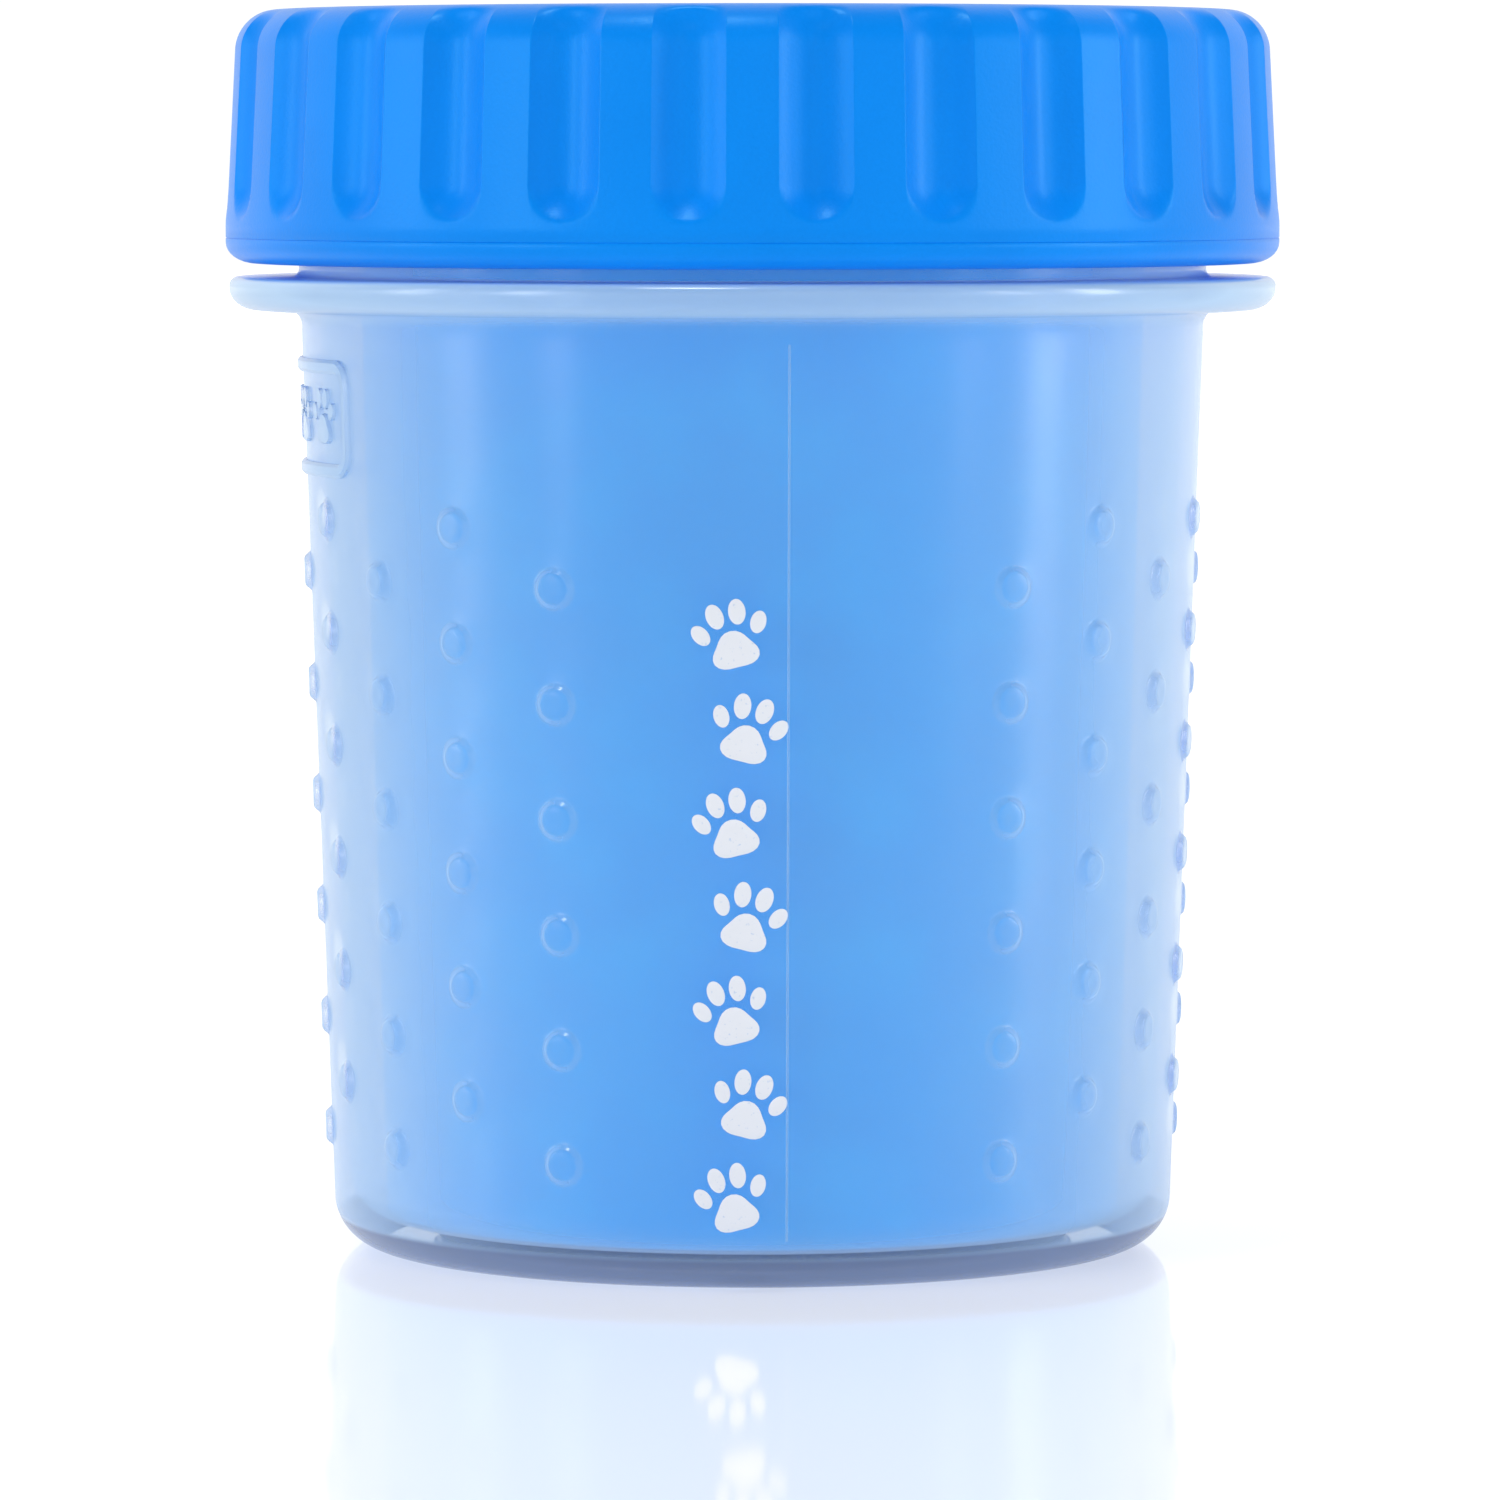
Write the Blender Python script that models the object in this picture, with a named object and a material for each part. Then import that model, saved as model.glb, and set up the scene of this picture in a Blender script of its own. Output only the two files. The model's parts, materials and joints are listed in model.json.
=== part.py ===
"""Paw washer cup: translucent cup, screw-on lid ring, sealing gasket and soft bristle insert.

Metres, +Z up. The origin is the centre of the foot ring, so the cup stands on z = 0 and every
round piece turns about the Z axis. The mould's parting line faces -Y and the blank name panel -X.
"""

import math

import bmesh
import bpy
from mathutils import Matrix, Vector

MM = 0.001
GAP = 0.3 * MM                     # left between pieces that rest on each other

# Cup
CUP_STEPS = 60
CUP_WALL = 1.7 * MM
BODY_LOW = (38.1 * MM, 4.6 * MM)   # radius and height where the straight wall starts
BODY_TOP = (40.85 * MM, 83.6 * MM)  # and where it ends
BASE_CORNER_R = 4.6 * MM
FOOT_INNER_R = 29.4 * MM
FOOT_RECESS = 0.8 * MM
FLOOR_TOP_Z = 2.8 * MM
FLANGE_R = 47.4 * MM
FLANGE_LOW_Z = 85.0 * MM
FLANGE_TOP_Z = 88.0 * MM
FLANGE_SLOPE = (2.4 * MM, 2.0 * MM)  # width and height of the rounded lower edge
NECK_R = 41.1 * MM
NECK_BORE_R = 39.4 * MM
RIM_Z = 107.2 * MM

# Grip bumps: two clear panels, front and back, between two fields of staggered columns
BUMP_SIDES = 6
BUMP_PITCH = 10.1 * MM
BUMP_ROWS = 6
BUMP_LOW_Z = 10.9 * MM
BUMP_BASE_R = 1.8 * MM
BUMP_TOP_R = 1.2 * MM
BUMP_RISE = 0.6 * MM
BUMP_SPACING = math.radians(15)
CLEAR_PANEL = math.radians(30)     # half width of each panel without bumps

# Blank name panel: a raised frame wrapped round the cup
PANEL_SIZE = (33.2 * MM, 10.5 * MM)
PANEL_Z = 75.5 * MM
PANEL_CORNER_R = 2.4 * MM
PANEL_LINE = 1.2 * MM
PANEL_RISE = 0.5 * MM

# Thread: four starts, right-handed
STARTS = 4
LEAD = 20.0 * MM
RIDGE_ROOT = 1.6 * MM              # width along the axis at the root and at the crest
RIDGE_CREST = 0.9 * MM
RIDGE_STEPS = 12
CUP_RIDGE_R = 42.9 * MM
CUP_RIDGE_Z = 97.0 * MM
CUP_RIDGE_SPAN = (0.0, 80.0)       # degrees past each start
LID_RIDGE_R = 42.1 * MM
LID_RIDGE_Z = CUP_RIDGE_Z - LEAD / STARTS / 2
LID_RIDGE_SPAN = (10.0, 70.0)

# Lid ring
FLUTES = 27
FLUTE_SHARE = 0.59                 # of the pitch that is flute, the rest is land
FLUTE_DEPTH = 1.45 * MM
FIRST_LAND = math.radians(-94.5)   # the middle of the land nearest the parting line
FLUTE_LOW_Z = 93.3 * MM
LID_LOW_Z = 89.2 * MM
LID_LOW_R = 47.7 * MM
LID_LOW_EDGE = (2.6 * MM, 1.9 * MM)  # width and height of the rounded bottom edge
LID_HIGH = (46.9 * MM, 108.2 * MM)
LID_TOP_Z = 112.0 * MM
SHOULDER_R = 3.8 * MM
SKIRT_BORE_R = 43.9 * MM
LID_UNDER_Z = 109.0 * MM
MOUTH_R = 36.8 * MM
REBATE_R = 40.2 * MM
REBATE_Z = 110.5 * MM

# Gasket
GASKET_BORE_R = 39.1 * MM
GASKET_R = 43.5 * MM

# Bristle insert
SLEEVE_STEPS = 60
SLEEVE_WALL = 1.6 * MM
SLEEVE_LOW = (33.3 * MM, 3.2 * MM)
SLEEVE_TOP = (36.1 * MM, 110.0 * MM)
INSERT_RIM_THICK = 1.0 * MM
COLUMNS = 18
COLUMN_ROWS = 9
COLUMN_PITCH = 10.8 * MM
COLUMN_LOW_Z = 6.0 * MM
ROOT_WIDTH = 5.0 * MM
ROOT_THICK = 1.2 * MM
FINGER_LENGTH = 12.6 * MM
FINGER_BASE_R = 1.7 * MM
FINGER_TIP_R = 1.1 * MM


def clear_scene():
    for scene_object in list(bpy.data.objects):
        bpy.data.objects.remove(scene_object)


def material(name, colour, roughness, alpha=1.0):
    finish = bpy.data.materials.new(name)
    finish.use_nodes = True
    shader = finish.node_tree.nodes["Principled BSDF"]
    shader.inputs["Base Color"].default_value = (*colour, 1.0)
    shader.inputs["Roughness"].default_value = roughness
    shader.inputs["Metallic"].default_value = 0.0
    shader.inputs["Alpha"].default_value = alpha
    return finish


def arc(centre, radius, start, end, steps):
    """Points of a circular arc in the (r, z) plane, from start to end degrees."""
    angles = [math.radians(start + (end - start) * i / steps) for i in range(steps + 1)]
    return [(centre[0] + radius * math.cos(a), centre[1] + radius * math.sin(a)) for a in angles]


def even_turn(steps):
    return [math.tau * i / steps for i in range(steps)]


def turned_mesh(name, outline, angles, carve=None):
    """Turn a closed (r, z) outline round Z. An outline that starts and ends on the axis gets poles.

    carve(r, z, i) gives the radius of an outline point at angle number i.
    """
    bm = bmesh.new()
    on_axis = outline[0][0] == 0.0
    rings = []
    for r, z in outline:
        if r == 0.0:
            rings.append([bm.verts.new((0.0, 0.0, z))] * len(angles))
            continue
        radii = [carve(r, z, i) if carve else r for i in range(len(angles))]
        rings.append([bm.verts.new((radius * math.cos(a), radius * math.sin(a), z))
                      for radius, a in zip(radii, angles)])
    pairs = list(zip(rings, rings[1:]))
    if not on_axis:
        pairs.append((rings[-1], rings[0]))
    for upper, lower in pairs:
        for i in range(len(angles)):
            j = (i + 1) % len(angles)
            corners = list(dict.fromkeys((upper[i], lower[i], lower[j], upper[j])))
            bm.faces.new(corners)
    return finished_mesh(name, bm)


def finished_mesh(name, bm):
    bmesh.ops.recalc_face_normals(bm, faces=bm.faces)
    mesh = bpy.data.meshes.new(name)
    bm.to_mesh(mesh)
    bm.free()
    return mesh


def placed(name, mesh, finish, parent=None):
    piece = bpy.data.objects.new(name, mesh)
    bpy.context.collection.objects.link(piece)
    if finish:
        mesh.materials.clear()
        mesh.materials.append(finish)
        mesh.shade_smooth()
        mesh.set_sharp_from_angle(angle=math.radians(28))
    piece.parent = parent
    return piece


def axis_empty(name, parent=None):
    """An empty on the Z axis, where the lid turns and the lid and insert slide."""
    empty = bpy.data.objects.new(name, None)
    empty.empty_display_size = 0.02
    bpy.context.collection.objects.link(empty)
    empty.parent = parent
    return empty


def joined_on(piece, name, mesh):
    """Union a hidden shape onto a piece."""
    addition = placed(name, mesh, None)
    addition.hide_render = True
    addition.display_type = "WIRE"
    union = piece.modifiers.new(name, "BOOLEAN")
    union.operation = "UNION"
    union.object = addition
    return addition


def body_radius(z):
    """Outer radius of the cup's straight wall."""
    slope = (BODY_TOP[0] - BODY_LOW[0]) / (BODY_TOP[1] - BODY_LOW[1])
    return BODY_LOW[0] + slope * (z - BODY_LOW[1])


def rounded_edge(radius, low_z, size):
    """The outer, lower edge of a ring: a quarter ellipse from its side down to its underside."""
    turns = [math.radians(30 * i) for i in range(4)]
    return [(radius - size[0] * (1 - math.cos(t)), low_z + size[1] * (1 - math.sin(t))) for t in turns]


def cup_outline():
    corner = (BODY_LOW[0] - BASE_CORNER_R, BASE_CORNER_R)
    inner_corner_r = BASE_CORNER_R - CUP_WALL + 1.0 * MM
    inner_corner = (corner[0] - 0.7 * MM, FLOOR_TOP_Z + inner_corner_r)
    edge = 0.7 * MM
    rim = [(NECK_BORE_R, RIM_Z - edge), (NECK_BORE_R + edge, RIM_Z), (NECK_R - edge, RIM_Z)]
    neck = [(NECK_R, RIM_Z - edge), (NECK_R, FLANGE_TOP_Z + edge), (NECK_R + edge, FLANGE_TOP_Z)]
    flange = [(FLANGE_R - edge, FLANGE_TOP_Z), (FLANGE_R, FLANGE_TOP_Z - edge)]
    flange += rounded_edge(FLANGE_R, FLANGE_LOW_Z, FLANGE_SLOPE)
    flange += [(BODY_TOP[0] + 1.1 * MM, FLANGE_LOW_Z)]
    outside = [BODY_TOP] + arc(corner, BASE_CORNER_R, 0, -90, 4)
    foot = [(FOOT_INNER_R, 0.0), (FOOT_INNER_R - FOOT_RECESS, FOOT_RECESS), (0.0, FOOT_RECESS)]
    inside = [(0.0, FLOOR_TOP_Z)] + arc(inner_corner, inner_corner_r, -90, 0, 3)
    top = [(BODY_TOP[0] - CUP_WALL, BODY_TOP[1]), (NECK_BORE_R, FLANGE_TOP_Z)]
    # From the underside's pole out and up to the rim, then down the inside to the floor's pole
    return foot[::-1] + (rim + neck + flange + outside)[::-1] + top[::-1] + inside[::-1]


def bump_places():
    """Angle and height of every grip bump, counted from the parting line at -Y."""
    columns = int((math.pi - 2 * CLEAR_PANEL) / BUMP_SPACING) + 1
    for side in (-1, 1):
        for column in range(columns):
            turn = -math.pi / 2 + side * (CLEAR_PANEL + column * BUMP_SPACING)
            lift = BUMP_PITCH / 2 if column % 2 else 0.0
            for row in range(BUMP_ROWS):
                yield turn, BUMP_LOW_Z + lift + row * BUMP_PITCH


def bumps_mesh():
    """All grip bumps: low cones whose roots end inside the wall."""
    bm = bmesh.new()
    root = 0.5 * MM
    for turn, z in bump_places():
        middle = body_radius(z) + (BUMP_RISE - root) / 2
        outward = Matrix.Rotation(turn, 4, "Z") @ Matrix.Translation((middle, 0, z))
        bmesh.ops.create_cone(bm, cap_ends=True, segments=BUMP_SIDES, radius1=BUMP_BASE_R,
                              radius2=BUMP_TOP_R, depth=BUMP_RISE + root,
                              matrix=outward @ Matrix.Rotation(math.pi / 2, 4, "Y"))
    return finished_mesh("grip_bumps", bm)


def rounded_outline(width, height, radius, straight):
    """Points round a rounded rectangle, with its long sides cut into equal pieces."""
    points = []
    for sx, sz, start in ((1, 1, 0), (-1, 1, 90), (-1, -1, 180), (1, -1, 270)):
        centre = (sx * (width / 2 - radius), sz * (height / 2 - radius))
        points += arc(centre, radius, start, start + 90, 3)
        if start in (0, 180):
            run = (width - 2 * radius) * sx
            points += [(centre[0] - run * i / straight, centre[1] + radius * sz)
                       for i in range(1, straight)]
    return points


def panel_mesh():
    """The raised frame of the name panel, bent round the cup's wall at -X."""
    bm = bmesh.new()
    root = 0.4 * MM
    outer = rounded_outline(*PANEL_SIZE, PANEL_CORNER_R, 8)
    inner = rounded_outline(PANEL_SIZE[0] - 2 * PANEL_LINE, PANEL_SIZE[1] - 2 * PANEL_LINE,
                            PANEL_CORNER_R - PANEL_LINE, 8)
    wall = body_radius(PANEL_Z)

    def bent(point, rise):
        z = PANEL_Z + point[1]
        turn = math.pi + point[0] / wall
        radius = body_radius(z) + rise
        return bm.verts.new((radius * math.cos(turn), radius * math.sin(turn), z))

    loops = [[bent(p, rise) for p in side]
             for side, rise in ((outer, -root), (outer, PANEL_RISE), (inner, PANEL_RISE), (inner, -root))]
    for near, far in zip(loops, loops[1:] + loops[:1]):
        for i in range(len(near)):
            j = (i + 1) % len(near)
            bm.faces.new((near[i], near[j], far[j], far[i]))
    return finished_mesh("name_panel", bm)


def ridges_mesh(name, root_r, crest_r, low_z, span):
    """Thread ridges: one trapezoid swept up the helix for each start."""
    bm = bmesh.new()
    section = [(root_r, -RIDGE_ROOT / 2), (root_r, RIDGE_ROOT / 2),
               (crest_r, RIDGE_CREST / 2), (crest_r, -RIDGE_CREST / 2)]
    for start in range(STARTS):
        rings = []
        for step in range(RIDGE_STEPS + 1):
            past = math.radians(span[0] + (span[1] - span[0]) * step / RIDGE_STEPS)
            turn = math.tau * start / STARTS + past
            z = low_z + LEAD * past / math.tau
            rings.append([bm.verts.new((r * math.cos(turn), r * math.sin(turn), z + dz))
                          for r, dz in section])
        for near, far in zip(rings, rings[1:]):
            for i in range(4):
                j = (i + 1) % 4
                bm.faces.new((near[i], near[j], far[j], far[i]))
        bm.faces.new(rings[0])
        bm.faces.new(rings[-1])
    return finished_mesh(name, bm)


def make_cup():
    finish = material("cup_translucent", (0.62, 0.72, 0.85), 0.35, alpha=0.55)
    cup = placed("cup", turned_mesh("cup", cup_outline(), even_turn(CUP_STEPS)), finish)
    joined_on(cup, "grip_bumps", bumps_mesh())
    joined_on(cup, "name_panel", panel_mesh())
    joined_on(cup, "cup_thread", ridges_mesh("cup_thread", NECK_R - 0.6 * MM, CUP_RIDGE_R,
                                             CUP_RIDGE_Z, CUP_RIDGE_SPAN))
    return cup


def lid_angles():
    """Four angles a pitch: both edges of a flute and both edges of its floor."""
    pitch = math.tau / FLUTES
    edge = pitch * FLUTE_SHARE / 2
    floor = edge * 0.45
    first = FIRST_LAND + pitch / 2
    return [first + pitch * i + offset for i in range(FLUTES) for offset in (-edge, -floor, floor, edge)]


def lid_carve(r, z, i):
    """Sink the flutes into the skirt's outside, from a rounded end up over the shoulder."""
    in_flute = i % 4 in (1, 2)
    outside = r > SKIRT_BORE_R + 1.0 * MM
    if in_flute and outside and z > FLUTE_LOW_Z + 0.1 * MM:
        return r - FLUTE_DEPTH
    return r


def lid_outline():
    shoulder = (LID_HIGH[0] - SHOULDER_R, LID_TOP_Z - SHOULDER_R)
    flute_end = 2.4 * MM
    taper = (LID_LOW_R - LID_HIGH[0]) / (LID_HIGH[1] - FLUTE_LOW_Z)
    skirt = rounded_edge(LID_LOW_R, LID_LOW_Z, LID_LOW_EDGE)[::-1]
    skirt += [(LID_LOW_R, FLUTE_LOW_Z), (LID_LOW_R - taper * flute_end, FLUTE_LOW_Z + flute_end)]
    top = arc(shoulder, SHOULDER_R, 0, 90, 3)
    mouth = [(REBATE_R, LID_TOP_Z), (REBATE_R, REBATE_Z), (MOUTH_R, REBATE_Z), (MOUTH_R, LID_UNDER_Z)]
    bore = [(SKIRT_BORE_R, LID_UNDER_Z), (SKIRT_BORE_R, LID_LOW_Z + 0.5 * MM),
            (SKIRT_BORE_R + 0.5 * MM, LID_LOW_Z)]
    return skirt + top + mouth + bore


def make_lid(parent):
    finish = material("lid_blue", (0.01, 0.25, 0.87), 0.42)
    lid = placed("lid_ring", turned_mesh("lid_ring", lid_outline(), lid_angles(), lid_carve), finish, parent)
    joined_on(lid, "lid_thread", ridges_mesh("lid_thread", SKIRT_BORE_R + 0.6 * MM, LID_RIDGE_R,
                                             LID_RIDGE_Z, LID_RIDGE_SPAN))
    return lid


def make_gasket(parent):
    finish = material("gasket_white", (0.8, 0.82, 0.84), 0.6)
    low = RIM_Z + GAP
    high = LID_UNDER_Z - GAP
    outline = [(GASKET_BORE_R, low), (GASKET_R, low), (GASKET_R, high), (GASKET_BORE_R, high)]
    return placed("lid_gasket", turned_mesh("lid_gasket", outline, even_turn(48)), finish, parent)


def sleeve_outline():
    rim_low = REBATE_Z + GAP
    rim_high = rim_low + INSERT_RIM_THICK
    rim_r = REBATE_R - GAP
    edge = 0.35 * MM
    outside = [(rim_r - edge, rim_high), (rim_r, rim_high - edge), (rim_r, rim_low),
               (SLEEVE_TOP[0], rim_low), SLEEVE_LOW]
    inside = [(SLEEVE_LOW[0] - SLEEVE_WALL, SLEEVE_LOW[1]),
              (SLEEVE_TOP[0] - SLEEVE_WALL, rim_high - edge), (SLEEVE_TOP[0] - SLEEVE_WALL + edge, rim_high)]
    return outside + inside


def column_mesh(name, shift):
    """A root strip with a finger on every other level; shift raises the fingers by one level.

    Local X points to the cup's axis, local Z up the wall, and the strip's back lies at x = 0.
    """
    bm = bmesh.new()
    levels = [COLUMN_PITCH / 2 * k for k in range(2 * COLUMN_ROWS + 2)]
    corners = ((ROOT_THICK, -1), (ROOT_THICK, 1), (0.0, 1), (0.0, -1))
    edges = [[bm.verts.new((x, side * ROOT_WIDTH / 2, z)) for z in levels] for x, side in corners]
    left, right = edges[:2]
    for k in range(len(levels) - 1):
        for near, far in zip(edges[1:], edges[2:] + edges[:1]):
            bm.faces.new((near[k], far[k], far[k + 1], near[k + 1]))
    for k in (0, -1):
        bm.faces.new([edge[k] for edge in edges])
    for row in range(COLUMN_ROWS):
        k = 2 * row + 1 + shift
        cell = [right[k], right[k + 1], left[k + 1], left[k], left[k - 1], right[k - 1]]
        add_finger(bm, cell, levels[k])
    spare = 0 if shift else len(levels) - 2
    bm.faces.new((left[spare], right[spare], right[spare + 1], left[spare + 1]))
    return finished_mesh(name, bm)


def add_finger(bm, cell, z):
    """One tapered, blunt finger joined to the six corners of its cell on the strip."""
    rings = [cell]
    for x, radius in ((ROOT_THICK, FINGER_BASE_R), (ROOT_THICK + FINGER_LENGTH, FINGER_TIP_R)):
        turns = even_turn(len(cell))
        rings.append([bm.verts.new((x, radius * math.cos(t), z + radius * math.sin(t))) for t in turns])
    for near, far in zip(rings, rings[1:]):
        for i in range(len(cell)):
            j = (i + 1) % len(cell)
            bm.faces.new((near[i], near[j], far[j], far[i]))
    bm.faces.new(rings[-1])


def make_insert(parent):
    finish = material("silicone_blue", (0.05, 0.33, 0.85), 0.55)
    sleeve = turned_mesh("insert_sleeve", sleeve_outline(), even_turn(SLEEVE_STEPS))
    placed("insert_sleeve", sleeve, finish, parent)
    meshes = [column_mesh("bristles_low", 0), column_mesh("bristles_high", 1)]
    slope = math.atan2(SLEEVE_TOP[0] - SLEEVE_LOW[0], SLEEVE_TOP[1] - SLEEVE_LOW[1])
    low_r = SLEEVE_LOW[0] - SLEEVE_WALL + (COLUMN_LOW_Z - SLEEVE_LOW[1]) * math.tan(slope)
    seat_r = math.sqrt((low_r - GAP) ** 2 - (ROOT_WIDTH / 2) ** 2)
    facet_sag = low_r * (1 - math.cos(math.pi / SLEEVE_STEPS))
    for i in range(COLUMNS):
        turn = math.tau * i / COLUMNS
        column = placed(f"bristle_column_{i + 1:02d}", meshes[i % 2], finish, parent)
        seat = Vector((seat_r - facet_sag, 0.0, COLUMN_LOW_Z))
        inward = Matrix.Rotation(slope, 4, "Y") @ Matrix.Rotation(math.pi, 4, "Z")
        column.matrix_local = Matrix.Rotation(turn, 4, "Z") @ Matrix.Translation(seat) @ inward


def main():
    clear_scene()
    make_cup()
    lid_rise = axis_empty("lid_rise_axis")
    make_gasket(lid_rise)
    lid_turn = axis_empty("lid_turn_axis", lid_rise)
    make_lid(lid_turn)
    insert_lift = axis_empty("insert_lift_axis", lid_turn)
    make_insert(insert_lift)


main()
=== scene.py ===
"""Paw washer cup: the fine surface of every piece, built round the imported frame.

The cup is a milky translucent moulding with grip bumps, the lid a fluted blue ring on a four-start
thread, and the insert a soft blue sleeve with rows of fingers. All lengths are in metres.
"""

import json
import logging
import math
from collections.abc import Sequence
from dataclasses import dataclass, field
from enum import Enum

import bmesh
import bpy
from mathutils import Matrix, Vector

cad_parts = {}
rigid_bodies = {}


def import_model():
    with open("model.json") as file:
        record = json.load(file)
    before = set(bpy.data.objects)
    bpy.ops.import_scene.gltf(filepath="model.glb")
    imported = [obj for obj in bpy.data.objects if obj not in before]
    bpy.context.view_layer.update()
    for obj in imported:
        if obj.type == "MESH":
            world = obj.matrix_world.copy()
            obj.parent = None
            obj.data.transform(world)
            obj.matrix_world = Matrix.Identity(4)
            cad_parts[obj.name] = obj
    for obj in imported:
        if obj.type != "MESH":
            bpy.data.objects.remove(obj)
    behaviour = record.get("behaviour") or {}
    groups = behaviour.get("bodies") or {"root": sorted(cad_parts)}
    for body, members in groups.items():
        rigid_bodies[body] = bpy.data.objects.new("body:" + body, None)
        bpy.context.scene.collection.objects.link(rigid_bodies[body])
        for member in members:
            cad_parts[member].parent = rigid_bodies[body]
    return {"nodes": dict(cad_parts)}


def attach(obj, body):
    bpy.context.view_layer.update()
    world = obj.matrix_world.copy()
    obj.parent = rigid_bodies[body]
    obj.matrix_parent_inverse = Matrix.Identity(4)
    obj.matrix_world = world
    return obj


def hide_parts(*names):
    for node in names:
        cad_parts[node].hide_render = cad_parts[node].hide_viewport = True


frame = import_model()

MM = 0.001
WELD = 1e-6
FLANK = "flank"
THREAD_STARTS = 4
THREAD_LEAD = 20.0 * MM
log = logging.getLogger("paw_washer_cup")

Point = tuple[float, float]
Colour = tuple[float, float, float]


# Node trees written as expressions


class Value:
    """A number on a node's socket that ordinary arithmetic can be done with."""

    def __init__(self, tree: "Tree", socket: bpy.types.NodeSocket) -> None:
        """Wrap an output socket that carries a number, and the tree that its node is in."""
        self.tree = tree
        self.socket = socket

    def __add__(self, other: "Number") -> "Value":
        """This value plus another."""
        return self.tree.math("ADD", self, other)

    def __sub__(self, other: "Number") -> "Value":
        """This value minus another."""
        return self.tree.math("SUBTRACT", self, other)

    def __rsub__(self, other: "Number") -> "Value":
        """Another value minus this one."""
        return self.tree.math("SUBTRACT", other, self)

    def __mul__(self, other: "Number") -> "Value":
        """This value times another."""
        return self.tree.math("MULTIPLY", self, other)

    def __truediv__(self, other: "Number") -> "Value":
        """This value over another."""
        return self.tree.math("DIVIDE", self, other)

    def __rtruediv__(self, other: "Number") -> "Value":
        """Another value over this one."""
        return self.tree.math("DIVIDE", other, self)

    def __mod__(self, other: "Number") -> "Value":
        """What is left of this value after whole steps of another, never negative."""
        return self.tree.math("FLOORED_MODULO", self, other)

    __radd__ = __add__


Number = Value | float


class Tree:
    """A shader or geometry node tree, filled one node at a time."""

    def __init__(self, data: bpy.types.NodeTree) -> None:
        """Take over a node tree, to add nodes to it."""
        self.data = data

    def node(self, kind: str, settings: dict | None = None, inputs: dict | None = None) -> bpy.types.Node:
        """Add one node.

        Args:
            kind: The node's type.
            settings: Properties of the node, set before its sockets.
            inputs: Socket names or numbers, with a value or a link for each.

        Returns:
            The new node.
        """
        node = self.data.nodes.new(kind)
        for name, setting in (settings or {}).items():
            setattr(node, name, setting)
        for key, given in (inputs or {}).items():
            if isinstance(given, Value):
                given = given.socket
            if isinstance(given, bpy.types.NodeSocket):
                self.data.links.new(given, node.inputs[key])
            else:
                node.inputs[key].default_value = given
        return node

    def value(self, kind: str, settings: dict | None = None, inputs: dict | None = None,
              output: int | str = 0) -> Value:
        """Add one node and wrap one of its outputs as a value."""
        return Value(self, self.node(kind, settings, inputs).outputs[output])

    def math(self, operation: str, *terms: Number) -> Value:
        """Add a Math node for one operation on its terms."""
        return self.value("ShaderNodeMath", {"operation": operation}, dict(enumerate(terms)))

    def ease(self, value: Number, low: Number, high: Number) -> Value:
        """Run smoothly from 0 at low to 1 at high, either way round."""
        ramp = {"interpolation_type": "SMOOTHSTEP"}
        return self.value("ShaderNodeMapRange", ramp, {"Value": value, "From Min": low, "From Max": high})

    def split(self, vector: bpy.types.NodeSocket) -> list[Value]:
        """The x, y and z of a vector socket."""
        parts = self.node("ShaderNodeSeparateXYZ", inputs={0: vector})
        return [Value(self, output) for output in parts.outputs]

    def vector(self, x: Number, y: Number, z: Number) -> bpy.types.NodeSocket:
        """A vector socket made from three values."""
        return self.node("ShaderNodeCombineXYZ", inputs={0: x, 1: y, 2: z}).outputs[0]


class Recipe(Tree):
    """A Geometry Nodes tree with named inputs that ends in one material."""

    def __init__(self, name: str) -> None:
        """Start an empty recipe that passes one geometry.

        Args:
            name: The recipe's name.
        """
        super().__init__(bpy.data.node_groups.new(name, "GeometryNodeTree"))
        self.add_socket("Geometry", "NodeSocketGeometry")
        self.data.interface.new_socket("Geometry", in_out="OUTPUT", socket_type="NodeSocketGeometry")
        self.start = self.node("NodeGroupInput")

    def add_socket(self, name: str, kind: str) -> None:
        """Add one named input to the recipe's interface."""
        self.data.interface.new_socket(name, in_out="INPUT", socket_type=kind)

    def size(self, name: str, kind: str = "NodeSocketFloat") -> Value:
        """Add a named input and give its value."""
        self.add_socket(name, kind)
        return Value(self, self.start.outputs[name])

    def close(self, geometry: bpy.types.NodeSocket) -> "Recipe":
        """End the recipe: real geometry, one material.

        Args:
            geometry: The socket with the finished geometry.

        Returns:
            The recipe itself, ready to use.
        """
        finish = self.size("Finish", "NodeSocketMaterial")
        solid = self.node("GeometryNodeRealizeInstances", inputs={0: geometry})
        dressed = self.node("GeometryNodeSetMaterial", inputs={"Geometry": solid.outputs[0],
                                                               "Material": finish})
        self.node("NodeGroupOutput", inputs={0: dressed.outputs[0]})
        return self

    def cook(self, piece: bpy.types.Object, sizes: dict, finish: bpy.types.Material) -> None:
        """Run the recipe on a piece and keep the result as its plain mesh.

        Args:
            piece: The object whose mesh goes in and is replaced.
            sizes: A value for each named input.
            finish: The material of the result.
        """
        modifier = piece.modifiers.new(self.data.name, "NODES")
        modifier.node_group = self.data
        given = {**sizes, "Finish": finish}
        for item in self.data.interface.items_tree:
            if item.in_out == "INPUT" and item.name in given:
                modifier[item.identifier] = given[item.name]
        seen = piece.evaluated_get(bpy.context.evaluated_depsgraph_get())
        mesh = bpy.data.meshes.new_from_object(seen)
        mesh.materials.clear()
        mesh.materials.append(finish)
        mesh.polygons.foreach_set("material_index", [0] * len(mesh.polygons))
        piece.modifiers.remove(modifier)
        piece.data = mesh


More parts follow.
